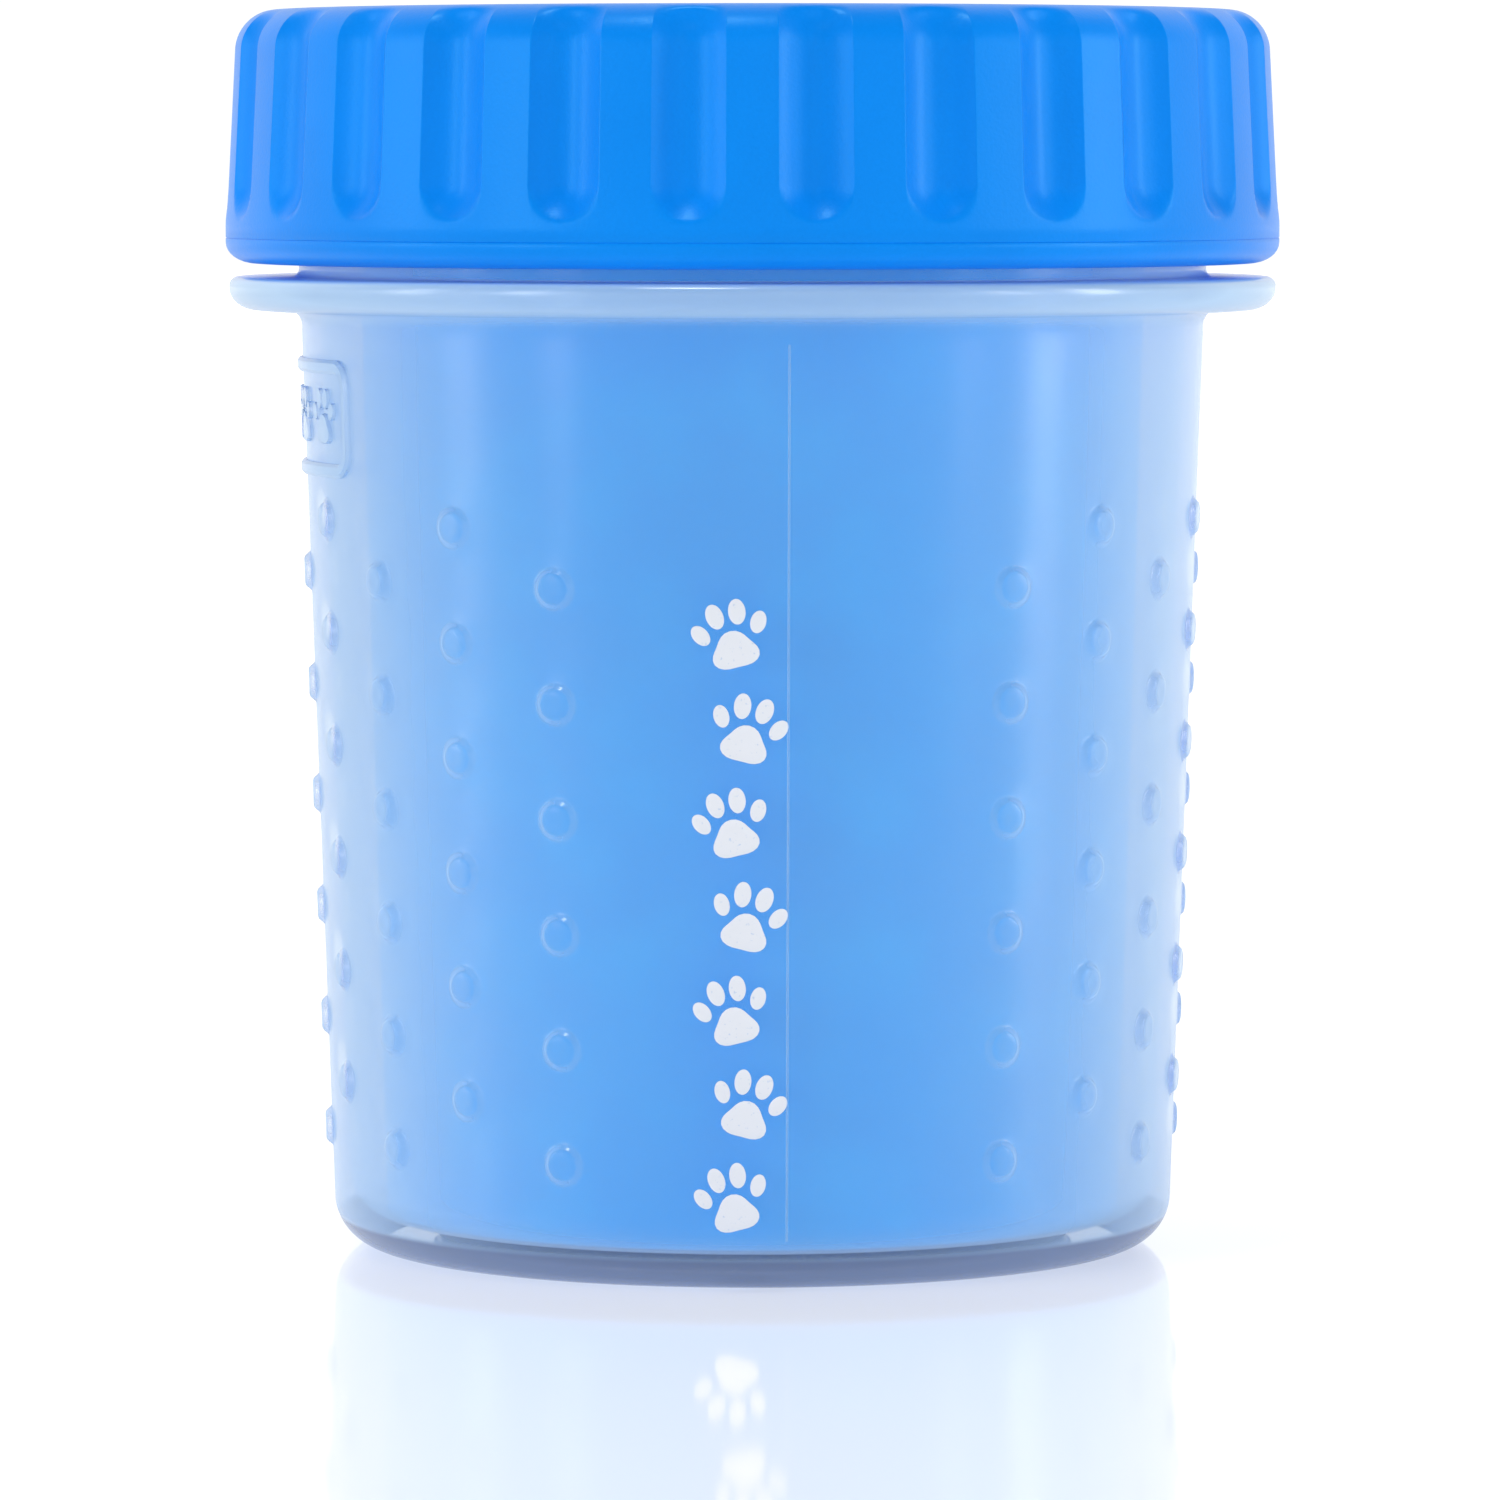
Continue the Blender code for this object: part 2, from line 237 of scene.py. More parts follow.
def wrap_round(tree: Recipe, geometry: bpy.types.NodeSocket) -> bpy.types.NodeSocket:
    """Bend a flat layout round the cup's straight wall.

    Flat x runs along the wall from the parting line, flat y is the height and flat z stands out of
    the wall.

    Args:
        tree: The recipe, which gains the inputs Flat Radius, Low Radius, Low Height and Slope.
        geometry: The flat geometry.

    Returns:
        The bent geometry.
    """
    flat_radius, low_radius = tree.size("Flat Radius"), tree.size("Low Radius")
    low_height, slope = tree.size("Low Height"), tree.size("Slope")
    along, height, proud = tree.split(tree.node("GeometryNodeInputPosition").outputs[0])
    turn = along / flat_radius - math.pi / 2
    radius = low_radius + slope * (height - low_height) + proud
    place = tree.vector(radius * tree.math("COSINE", turn), radius * tree.math("SINE", turn), height)
    moved = tree.node("GeometryNodeSetPosition", inputs={"Geometry": geometry, "Position": place})
    return moved.outputs[0]


def cell_recipe() -> Recipe:
    """Lay two kinds of flat cell on points, weld them and wrap the sheet round the wall.

    Returns:
        The recipe, with the inputs Raised Cell and Plain Cell and those of wrap_round.
    """
    tree = Recipe("bump_field")
    raised = tree.size("Raised Cell", "NodeSocketObject")
    plain = tree.size("Plain Cell", "NodeSocketObject")
    chosen = tree.node("GeometryNodeInputNamedAttribute", {"data_type": "BOOLEAN"}, {"Name": "raised"})
    other = tree.node("FunctionNodeBooleanMath", {"operation": "NOT"}, {0: chosen.outputs[0]})
    sheet = tree.node("GeometryNodeJoinGeometry")
    for cell, choice in ((raised, chosen), (plain, other)):
        shape = tree.node("GeometryNodeObjectInfo", inputs={"Object": cell})
        laid = tree.node("GeometryNodeInstanceOnPoints", inputs={
            "Points": tree.start.outputs[0], "Selection": choice.outputs[0],
            "Instance": shape.outputs["Geometry"]})
        tree.data.links.new(laid.outputs[0], sheet.inputs[0])
    solid = tree.node("GeometryNodeRealizeInstances", inputs={0: sheet.outputs[0]})
    welded = tree.node("GeometryNodeMergeByDistance", inputs={"Geometry": solid.outputs[0],
                                                              "Distance": WELD})
    return tree.close(wrap_round(tree, welded.outputs[0]))


def mark_recipe() -> Recipe:
    """Lay a flat mark on points, turned left and right in turn, and wrap the row round the wall.

    Returns:
        The recipe, with the inputs Mark and Lean and those of wrap_round.
    """
    tree = Recipe("mark_row")
    mark, lean = tree.size("Mark", "NodeSocketObject"), tree.size("Lean")
    shape = tree.node("GeometryNodeObjectInfo", inputs={"Object": mark})
    index = tree.value("GeometryNodeInputIndex")
    turn = tree.vector(0.0, 0.0, (index % 2.0 * 2.0 - 1.0) * lean)
    laid = tree.node("GeometryNodeInstanceOnPoints", inputs={
        "Points": tree.start.outputs[0], "Instance": shape.outputs["Geometry"], "Rotation": turn})
    solid = tree.node("GeometryNodeRealizeInstances", inputs={0: laid.outputs[0]})
    return tree.close(wrap_round(tree, solid.outputs[0]))


def ring_recipe() -> Recipe:
    """Repeat a shape at even angles round the Z axis.

    Returns:
        The recipe, with the input Count.
    """
    tree = Recipe("even_ring")
    count = tree.size("Count", "NodeSocketInt")
    spots = tree.node("GeometryNodeMeshLine", inputs={"Count": count, "Offset": (0.0, 0.0, 0.0)})
    index = tree.value("GeometryNodeInputIndex")
    turn = tree.vector(0.0, 0.0, index / count * math.tau)
    laid = tree.node("GeometryNodeInstanceOnPoints", inputs={
        "Points": spots.outputs[0], "Instance": tree.start.outputs[0], "Rotation": turn})
    return tree.close(laid.outputs[0])


def finger_recipe() -> Recipe:
    """Stand a finger in staggered columns inside a tapered sleeve, each with its own slight lean.

    Returns:
        The recipe, with the inputs Columns, Rows, Pitch, Low Height, Low Radius, Slope and Lean.
    """
    tree = Recipe("finger_field")
    columns, rows = tree.size("Columns"), tree.size("Rows")
    pitch, low = tree.size("Pitch"), tree.size("Low Height")
    radius, slope, lean = tree.size("Low Radius"), tree.size("Slope"), tree.size("Lean")
    spots = tree.node("GeometryNodeMeshLine", inputs={"Count": columns * rows, "Offset": (0.0, 0.0, 0.0)})
    index = tree.value("GeometryNodeInputIndex")
    column = tree.math("FLOOR", (index + 0.5) / rows)
    row = index - column * rows
    turn = column / columns * math.tau
    rise = (row + (column % 2.0) * 0.5) * pitch
    reach = radius + rise * slope
    place = tree.vector(reach * tree.math("COSINE", turn), reach * tree.math("SINE", turn), low + rise)
    points = tree.node("GeometryNodeSetPosition", inputs={0: spots.outputs[0], "Position": place})
    leans = [tree.value("FunctionNodeRandomValue", {"data_type": "FLOAT"},
                        {2: -1.0, 3: 1.0, "Seed": seed}, 1) * lean for seed in (3, 8)]
    laid = tree.node("GeometryNodeInstanceOnPoints", inputs={
        "Points": points.outputs[0], "Instance": tree.start.outputs[0],
        "Rotation": tree.vector(0.0, leans[0], turn + leans[1])})
    return tree.close(laid.outputs[0])


def flute_recipe() -> Recipe:
    """Sink round-ended flutes into the outside of a turned ring.

    Returns:
        The recipe, with inputs for the flutes' number, first land, width, depth and lower end.
    """
    tree = Recipe("flutes")
    count, depth, first = tree.size("Count"), tree.size("Depth"), tree.size("First Land")
    half_turn, half, end = tree.size("Half Turn"), tree.size("Half Width"), tree.size("End Height")
    inner, outer = tree.size("Inner Radius"), tree.size("Outer Radius")
    x, y, z = tree.split(tree.node("GeometryNodeInputPosition").outputs[0])
    radius = tree.math("SQRT", x * x + y * y)
    pitch = math.tau / count
    across = ((tree.math("ARCTAN2", y, x) - first) % pitch - pitch * 0.5) / half_turn
    below = tree.math("MINIMUM", z - end, 0.0) / half
    bowl = tree.math("MAXIMUM", 1.0 - across * across - below * below, 0.0)
    sink = bowl * depth * tree.ease(radius, inner, outer) / radius
    offset = tree.vector(x * sink * -1.0, y * sink * -1.0, 0.0)
    moved = tree.node("GeometryNodeSetPosition", inputs={0: tree.start.outputs[0], "Offset": offset})
    return tree.close(moved.outputs[0])


# Plain mesh building


def arc(centre: Point, radius: float, start: float, end: float, steps: int) -> list[Point]:
    """Points of a circular arc in the plane of radius and height.

    Args:
        centre: The arc's centre.
        radius: Its radius.
        start: The first point's angle in degrees.
        end: The last point's angle in degrees.
        steps: How many pieces the arc is cut into.

    Returns:
        The points from start to end.
    """
    turns = [math.radians(start + (end - start) * i / steps) for i in range(steps + 1)]
    return [(centre[0] + radius * math.cos(t), centre[1] + radius * math.sin(t)) for t in turns]


def oval_edge(radius: float, height: float, size: Point, end: float, steps: int) -> list[Point]:
    """A quarter of an ellipse that rounds a ring's outer edge.

    Args:
        radius: The ring's outer radius.
        height: The height of its flat face next to the edge.
        size: The ellipse's half width and half height.
        end: -90 for a lower edge, 90 for an upper one.
        steps: How many pieces the quarter is cut into.

    Returns:
        The points from the flat face to the side.
    """
    lean = math.copysign(size[1], end)
    quarter = arc((0.0, 0.0), 1.0, end, 0.0, steps)
    return [(radius - size[0] * (1 - across), height - lean + size[1] * up) for across, up in quarter]


def refined(outline: Sequence[Point], step: float) -> list[Point]:
    """Cut an outline's long stretches into even pieces.

    Args:
        outline: The outline's corners.
        step: The longest piece allowed.

    Returns:
        The corners with the new points between them.
    """
    points = [outline[0]]
    for near, far in zip(outline, outline[1:]):
        pieces = max(1, math.ceil(math.dist(near, far) / step))
        for i in range(1, pieces + 1):
            share = i / pieces
            points.append((near[0] + (far[0] - near[0]) * share, near[1] + (far[1] - near[1]) * share))
    return points


def even_turns(steps: int) -> list[float]:
    """Even angles round a full turn, counted from -Y."""
    return [math.tau * i / steps - math.pi / 2 for i in range(steps)]


def turn_outline(bm: bmesh.types.BMesh, outline: Sequence[Point], turns: Sequence[float],
                 closed: bool) -> None:
    """Turn an outline of radius and height round the Z axis into a mesh.

    Args:
        bm: The mesh that gains the faces.
        outline: The outline; a point at radius 0 becomes a pole.
        turns: The angles of its meridians, once round.
        closed: True if the last point joins the first.
    """
    steps = len(turns)
    rings = []
    for radius, height in outline:
        if radius == 0.0:
            rings.append([bm.verts.new((0.0, 0.0, height))] * steps)
            continue
        rings.append([bm.verts.new((radius * math.cos(t), radius * math.sin(t), height)) for t in turns])
    pairs = list(zip(rings, rings[1:]))
    if closed:
        pairs.append((rings[-1], rings[0]))
    for near, far in pairs:
        for i in range(steps):
            j = (i + 1) % steps
            bm.faces.new(list(dict.fromkeys((near[i], far[i], far[j], near[j]))))


def join_rings(bm: bmesh.types.BMesh, rings: Sequence[Sequence[bmesh.types.BMVert]]) -> None:
    """Skin closed rings of equal length one after another.

    Args:
        bm: The mesh that gains the faces.
        rings: The rings, in order.
    """
    for near, far in zip(rings, rings[1:]):
        for i in range(len(near)):
            j = (i + 1) % len(near)
            bm.faces.new((near[i], near[j], far[j], far[i]))


def new_piece(name: str, bm: bmesh.types.BMesh, outward: bool = True) -> bpy.types.Object:
    """Make a smooth object from a mesh under construction.

    Args:
        name: The object's name.
        bm: The mesh, which is freed.
        outward: True to weld doubles and turn all faces outwards.

    Returns:
        The new object, at the origin.
    """
    if outward:
        bmesh.ops.remove_doubles(bm, verts=bm.verts, dist=WELD)
        bmesh.ops.recalc_face_normals(bm, faces=bm.faces)
    mesh = bpy.data.meshes.new(name)
    bm.to_mesh(mesh)
    bm.free()
    piece = bpy.data.objects.new(name, mesh)
    bpy.context.collection.objects.link(piece)
    return piece


def smooth(piece: bpy.types.Object, sharp_degrees: float = 35.0) -> None:
    """Shade a piece smooth, with edges sharper than an angle left crisp."""
    piece.data.shade_smooth()
    piece.data.set_sharp_from_angle(angle=math.radians(sharp_degrees))


def discard(*pieces: bpy.types.Object) -> None:
    """Remove helper objects that were only cells or marks for a recipe."""
    for piece in pieces:
        bpy.data.objects.remove(piece)


# Finishes


class Slot(Enum):
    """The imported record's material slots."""

    CUP = "cup_translucent"
    LID = "lid_blue"
    SILICONE = "silicone_blue"


@dataclass(frozen=True)
class Finish:
    """What every finish shares: a name, a colour and how its surface is set up."""

    name: str
    colour: Colour
    roughness: float
    specular: float = 0.5
    gleam: Colour = (1.0, 1.0, 1.0)

    def surface(self, tree: Tree, shader: bpy.types.Node) -> None:
        """Add what varies over the surface."""

    def material(self) -> bpy.types.Material:
        """Build the finish as a material.

        Returns:
            The new material.
        """
        made = bpy.data.materials.new(self.name)
        made.use_nodes = True
        tree = Tree(made.node_tree)
        shader = made.node_tree.nodes["Principled BSDF"]
        shader.inputs["Base Color"].default_value = (*self.colour, 1.0)
        shader.inputs["Roughness"].default_value = self.roughness
        shader.inputs["Specular IOR Level"].default_value = self.specular
        shader.inputs["Specular Tint"].default_value = (*self.gleam, 1.0)
        self.surface(tree, shader)
        return made

    @staticmethod
    def place(tree: Tree) -> bpy.types.NodeSocket:
        """The point on the piece, in metres."""
        return tree.node("ShaderNodeTexCoord").outputs["Object"]

    @staticmethod
    def noise(tree: Tree, place: bpy.types.NodeSocket, size: float, detail: float = 2.0) -> Value:
        """Noise from 0 to 1 with features of about the given size."""
        return tree.value("ShaderNodeTexNoise", inputs={"Vector": place, "Scale": 1.0 / size,
                                                        "Detail": detail})

    @staticmethod
    def blend(tree: Tree, share: Number, first: object, second: object) -> bpy.types.NodeSocket:
        """Mix two colours.

        Args:
            tree: The material's tree.
            share: 0 for the first colour, 1 for the second.
            first: A colour, or a socket that carries one.
            second: The other colour or socket.

        Returns:
            The mixed colour's socket.
        """
        colours = {6: (*first, 1.0) if isinstance(first, tuple) else first,
                   7: (*second, 1.0) if isinstance(second, tuple) else second}
        return tree.node("ShaderNodeMix", {"data_type": "RGBA"}, {0: share, **colours}).outputs[2]

    @staticmethod
    def relief(tree: Tree, shader: bpy.types.Node, height: Value, depth: float) -> None:
        """Feed a height as a bump of the given depth into the shader's normal."""
        bump = tree.node("ShaderNodeBump", inputs={"Strength": 1.0, "Distance": depth, "Height": height})
        tree.data.links.new(bump.outputs[0], shader.inputs["Normal"])

    @staticmethod
    def feed(tree: Tree, shader: bpy.types.Node, name: str, given: object) -> None:
        """Link a value or a colour into one socket of the shader."""
        socket = given.socket if isinstance(given, Value) else given
        tree.data.links.new(socket, shader.inputs[name])


@dataclass(frozen=True)
class MouldedBlue(Finish):
    """Opaque moulded plastic with a fine spark-eroded grain."""

    light: Colour = (0.0, 0.265, 0.95)
    drift: Point = (0.3, 0.75)
    cloud: float = 14 * MM
    grain: float = 0.3 * MM
    grain_depth: float = 0.018 * MM

    def surface(self, tree: Tree, shader: bpy.types.Node) -> None:
        """Add grain, cloudy roughness and a slight drift of colour.

        Args:
            tree: The material's tree.
            shader: Its Principled node.
        """
        place = self.place(tree)
        grain = self.noise(tree, place, self.grain, 3.0)
        cloud = self.noise(tree, place, self.cloud)
        drift = tree.ease(cloud * 0.7 + grain * 0.3, *self.drift)
        self.feed(tree, shader, "Base Color", self.blend(tree, drift, self.colour, self.light))
        self.feed(tree, shader, "Roughness", self.roughness + (grain - 0.5) * 0.16 + (cloud - 0.5) * 0.08)
        self.relief(tree, shader, grain, self.grain_depth)


@dataclass(frozen=True)
class MilkyPlastic(Finish):
    """Translucent moulded plastic: milky at grazing angles, in the collar and in the thick base, whose band
    is also coloured a darker blue-grey as painted shade.

    The shares from clear to base_milk add up to how solid the plastic looks. A span gives the heights
    between which a share fades in or out.
    """

    # painted shade: the darker blue-grey that the base band turns towards the bottom edge
    base: Colour = (0.13, 0.19, 0.34)
    clear: float = 0.15
    edge: float = 0.72
    collar: float = 0.4
    collar_low: Point = (84.9 * MM, 85.2 * MM)
    collar_high: Point = (88.2 * MM, 88.0 * MM)
    flank: float = 0.14
    outline: float = 0.35
    base_milk: float = 0.6
    base_span: Point = (3.3 * MM, 2.5 * MM)
    flow: float = 22 * MM
    skin: float = 1.2 * MM
    skin_depth: float = 0.001 * MM
    passed: Colour = (0.86, 0.92, 1.0)

    def surface(self, tree: Tree, shader: bpy.types.Node) -> None:
        """Add the thickness cues, a painted shade on the base band, faint flow clouds and a fine skin.

        Args:
            tree: The material's tree.
            shader: Its Principled node.
        """
        place = self.place(tree)
        z = tree.split(place)[2]
        cloud = self.noise(tree, place, self.flow)
        flank = tree.value("ShaderNodeAttribute", {"attribute_name": FLANK}, output="Fac")
        facing = tree.value("ShaderNodeLayerWeight", inputs={"Blend": 0.5}, output="Facing")
        collar = tree.ease(z, *self.collar_low) * tree.ease(z, *self.collar_high)
        base = tree.ease(z, *self.base_span)
        grazing = tree.ease(facing, 0.0, 1.0)
        cover = (self.clear + grazing * (1.0 - flank * self.outline) * self.edge + collar * self.collar
                 + flank * (1.0 - grazing) * self.flank + base * self.base_milk)
        self.feed(tree, shader, "Alpha", tree.math("MINIMUM", cover + (cloud - 0.5) * 0.04, 1.0))
        tint = self.blend(tree, tree.ease(cloud, 0.3, 0.8), self.colour,
                          tuple(c * 0.96 for c in self.colour))
        # painted shade: the base band blends into the darker blue-grey base colour towards the bottom edge
        self.feed(tree, shader, "Base Color", self.blend(tree, base, tint, self.base))
        self.feed(tree, shader, "Roughness", self.roughness + (cloud - 0.5) * 0.1)
        self.relief(tree, shader, self.noise(tree, place, self.skin), self.skin_depth)
        self.let_light_through(tree, shader)

    def let_light_through(self, tree: Tree, shader: bpy.types.Node) -> None:
        """Let lamplight and bounced light pass through the wall, as milky plastic does.

        Args:
            tree: The material's tree.
            shader: Its Principled node.
        """
        passed = tree.node("ShaderNodeBsdfTransparent", inputs={"Color": (*self.passed, 1.0)}).outputs[0]
        light = tree.node("ShaderNodeLightPath")
        surface = shader.outputs[0]
        for ray in ("Is Shadow Ray", "Is Diffuse Ray"):
            surface = tree.node("ShaderNodeMixShader", inputs={0: light.outputs[ray], 1: surface,
                                                               2: passed}).outputs[0]
        tree.data.links.new(surface, tree.data.nodes["Material Output"].inputs["Surface"])


@dataclass(frozen=True)
class Silicone(Finish):
    """Soft rubbery silicone: satin, with faint dust and mould flow."""

    pale: Colour = (0.05, 0.30, 0.86)
    bloom: Point = (0.35, 0.8)
    cloud: float = 9 * MM
    skin: float = 0.5 * MM
    skin_depth: float = 0.002 * MM

    def surface(self, tree: Tree, shader: bpy.types.Node) -> None:
        """Add a bloom of paler colour, uneven gloss and a fine skin.

        Args:
            tree: The material's tree.
            shader: Its Principled node.
        """
        place = self.place(tree)
        cloud = self.noise(tree, place, self.cloud, 3.0)
        skin = self.noise(tree, place, self.skin)
        self.feed(tree, shader, "Base Color",
                  self.blend(tree, tree.ease(cloud, *self.bloom), self.colour, self.pale))
        self.feed(tree, shader, "Roughness", self.roughness + (cloud - 0.5) * 0.2 + (skin - 0.5) * 0.08)
        self.relief(tree, shader, skin, self.skin_depth)


@dataclass(frozen=True)
class PrintedInk(Finish):
    """A thin, slightly uneven layer of opaque ink."""

    thin: Colour = (0.60, 0.70, 0.86)
    worn: Point = (0.62, 0.74)
    speck: float = 0.35 * MM
    depth: float = 0.01 * MM

    def surface(self, tree: Tree, shader: bpy.types.Node) -> None:
        """Let the ink run thin in specks.

        Args:
            tree: The material's tree.
            shader: Its Principled node.
        """
        place = self.place(tree)
        speck = self.noise(tree, place, self.speck, 4.0)
        self.feed(tree, shader, "Base Color",
                  self.blend(tree, tree.ease(speck, *self.worn), self.colour, self.thin))
        self.feed(tree, shader, "Roughness", self.roughness + (speck - 0.5) * 0.2)
        self.relief(tree, shader, speck, self.depth)


# Sub-assemblies


@dataclass
class Wall:
    """The cup's straight tapered wall, which bumps and marks are wrapped round."""

    low: Point = (38.1 * MM, 4.6 * MM)
    top: Point = (40.85 * MM, 83.6 * MM)
    flat_radius: float = 39.5 * MM

    @property
    def slope(self) -> float:
        """How much the radius grows with height."""
        return (self.top[0] - self.low[0]) / (self.top[1] - self.low[1])

    def radius(self, height: float) -> float:
        """The outer radius at a height."""
        return self.low[0] + self.slope * (height - self.low[1])

    def sizes(self) -> dict[str, float]:
        """The inputs that wrap_round asks for."""
        return {"Flat Radius": self.flat_radius, "Low Radius": self.low[0],
                "Low Height": self.low[1], "Slope": self.slope}


@dataclass
class Cup:
    """The translucent cup with its bumps, thread, parting line and name panel."""

    wall: Wall = field(default_factory=Wall)
    thickness: float = 1.7 * MM
    corner_r: float = 4.6 * MM
    foot_inner_r: float = 29.4 * MM
    foot_recess: float = 0.8 * MM
    floor_top: float = 2.8 * MM
    flange_r: float = 47.4 * MM
    flange_low: float = 85.0 * MM
    flange_top: float = 88.0 * MM
    flange_edges: tuple[Point, Point] = ((2.4 * MM, 2.0 * MM), (0.9 * MM, 0.8 * MM))
    neck_r: float = 41.1 * MM
    neck_bore_r: float = 39.4 * MM
    neck_round: float = 0.7 * MM
    inner_corner_r: float = 3.9 * MM
    inner_corner_in: float = 0.7 * MM
    rim: float = 107.2 * MM
    turn_steps: int = 144
    columns: int = 24
    cell_pitch: float = 10.1 * MM
    cell_steps: int = 8
    bump_rows: int = 6
    field_low: float = 5.85 * MM
    bump_profile: tuple[Point, ...] = (
        (3.4 * MM, 0.0), (2.1 * MM, 0.0), (1.84 * MM, 0.03 * MM), (1.68 * MM, 0.16 * MM),
        (1.5 * MM, 0.38 * MM), (1.34 * MM, 0.53 * MM), (1.12 * MM, 0.6 * MM), (0.55 * MM, 0.58 * MM))
    ridge: tuple[float, float, float] = (42.9 * MM, 97.0 * MM, 80.0)
    panel: tuple[float, float, float] = (33.2 * MM, 10.5 * MM, 75.5 * MM)
    panel_corner: float = 2.4 * MM
    panel_line: float = 1.25 * MM
    panel_rise: float = 0.5 * MM

    @property
    def field_top(self) -> float:
        """Where the bump field ends: the pitches of a staggered column above its low edge."""
        return self.field_low + (self.bump_rows + 0.5) * self.cell_pitch

    def clear(self, column: int) -> bool:
        """True if a column lies in the clear panel at the front or at the back."""
        quarter = column % (self.columns // 2)
        return quarter in (0, 1, self.columns // 2 - 1)

    def upper_outline(self) -> list[Point]:
        """From the top of the bump field over collar and rim, down the inside to the floor's pole.

        Returns:
            The outline's points.
        """
        w, e = self.wall, self.neck_round
        fillet_r = self.flange_low - w.top[1]
        under = arc((w.top[0] + fillet_r, w.top[1]), fillet_r, 180, 90, 5)
        outside = [(w.radius(self.field_top), self.field_top), (w.top[0], w.top[1] - 0.8 * MM)] + under
        low_edge, high_edge = self.flange_edges
        collar = oval_edge(self.flange_r, self.flange_low, low_edge, -90, 8)
        collar += oval_edge(self.flange_r, self.flange_top, high_edge, 90, 5)[::-1]
        fillet = arc((self.neck_r + e, self.flange_top + e), e, 270, 180, 4)
        rim = (arc((self.neck_r - e, self.rim - e), e, 0, 90, 4)
               + arc((self.neck_bore_r + e, self.rim - e), e, 90, 180, 4))
        inner_r = self.inner_corner_r
        centre = (w.low[0] - self.corner_r - self.inner_corner_in, self.floor_top + inner_r)
        inside = [(self.neck_bore_r, self.flange_top), (w.top[0] - self.thickness, w.top[1])]
        inside += arc(centre, inner_r, 0, -90, 8) + [(0.0, self.floor_top)]
        return outside + collar + fillet + rim + inside

    def lower_outline(self) -> list[Point]:
        """From the low edge of the bump field round the base corner to the underside's pole.

        Returns:
            The outline's points.
        """
        corner = (self.wall.low[0] - self.corner_r, self.corner_r)
        foot, recess = self.foot_inner_r, self.foot_recess
        start = (self.wall.radius(self.field_low), self.field_low)
        ring = arc((foot - 0.3 * MM, recess / 2), recess / 2, -90, -180, 3)
        return [start] + arc(corner, self.corner_r, 0, -90, 14) + ring + [
            (foot - recess, recess), (0.0, recess)]

    def cell(self, raised: bool) -> bpy.types.Object:
        """One flat cell of the wall, with a button in the middle or plain and half as high.

        Args:
            raised: True for the cell with a button.

        Returns:
            A helper object centred on its own origin.
        """
        across = self.turn_steps // self.columns
        width = math.tau * self.wall.flat_radius / self.columns
        height = self.cell_pitch if raised else self.cell_pitch / 2
        up = self.cell_steps if raised else self.cell_steps // 2
        bm = bmesh.new()
        if not raised:
            bmesh.ops.create_grid(bm, x_segments=across, y_segments=up, size=0.5,
                                  matrix=Matrix.Diagonal((width, height, 1.0, 1.0)))
            return new_piece("plain_cell", bm, outward=False)
        flank = bm.verts.layers.float.new(FLANK)
        border = [(width / 2, height * (i / up - 0.5)) for i in range(up)]
        border += [(width * (0.5 - i / across), height / 2) for i in range(across)]
        border += [(-x, -y) for x, y in border]
        rings = [[bm.verts.new((x, y, 0.0)) for x, y in border]]
        for radius, proud in self.bump_profile:
            turns = [math.atan2(y, x) for x, y in border]
            rings.append([bm.verts.new((radius * math.cos(t), radius * math.sin(t), proud)) for t in turns])
        join_rings(bm, rings)
        steep = slice(3, 6)
        for ring in rings[steep]:
            for vert in ring:
                vert[flank] = 1.0
        middle = bm.verts.new((0.0, 0.0, self.bump_profile[-1][1]))
        inner = rings[-1]
        for i, vert in enumerate(inner):
            bm.faces.new((vert, inner[(i + 1) % len(inner)], middle))
        return new_piece("raised_cell", bm, outward=False)

    def field_points(self) -> bpy.types.Object:
        """The centres of all cells on the flat wall, each marked raised or plain.

        Returns:
            The points as an object, which becomes the cup's body.
        """
        spots: list[tuple[float, float, bool]] = []
        half = self.cell_pitch / 2
        for column in range(self.columns):
            along = math.tau * self.wall.flat_radius * column / self.columns
            if self.clear(column):
                halves = 2 * self.bump_rows + 1
                spots += [(along, self.field_low + half * (i + 0.5), False) for i in range(halves)]
                continue
            lift = half if column % 2 else 0.0
            spare = self.field_low + half / 2 if lift else self.field_top - half / 2
            spots.append((along, spare, False))
            spots += [(along, self.field_low + lift + half + i * self.cell_pitch, True)
                      for i in range(self.bump_rows)]
        mesh = bpy.data.meshes.new("cup_body")
        mesh.from_pydata([(x, y, 0.0) for x, y, _ in spots], [], [])
        mesh.attributes.new("raised", "BOOLEAN", "POINT").data.foreach_set(
            "value", [raised for *_, raised in spots])
        piece = bpy.data.objects.new("cup_body", mesh)
        bpy.context.collection.objects.link(piece)
        return piece

    def body(self, finish: bpy.types.Material) -> bpy.types.Object:
        """The cup as one closed shell.

        Args:
            finish: The cup's material.

        Returns:
            The finished piece.
        """
        piece = self.field_points()
        cells = [self.cell(True), self.cell(False)]
        cell_recipe().cook(piece, {"Raised Cell": cells[0], "Plain Cell": cells[1],
                                   **self.wall.sizes()}, finish)
        discard(*cells)
        bm = bmesh.new()
        bm.from_mesh(piece.data)
        turn_outline(bm, refined(self.upper_outline(), 6 * MM), even_turns(self.turn_steps), closed=False)
        turn_outline(bm, refined(self.lower_outline(), 6 * MM), even_turns(self.turn_steps), closed=False)
        bmesh.ops.remove_doubles(bm, verts=bm.verts, dist=WELD * 5)
        bmesh.ops.recalc_face_normals(bm, faces=bm.faces)
        bm.to_mesh(piece.data)
        bm.free()
        smooth(piece)
        return piece

    def thread(self, finish: bpy.types.Material) -> bpy.types.Object:
        """The four ridges on the neck.

        Args:
            finish: The cup's material.

        Returns:
            The finished piece.
        """
        crest, low, span = self.ridge
        ridge = thread_ridge("cup_thread", self.neck_r - 0.2 * MM, crest, low, (0.0, span))
        ring_recipe().cook(ridge, {"Count": THREAD_STARTS}, finish)
        smooth(ridge)
        return ridge

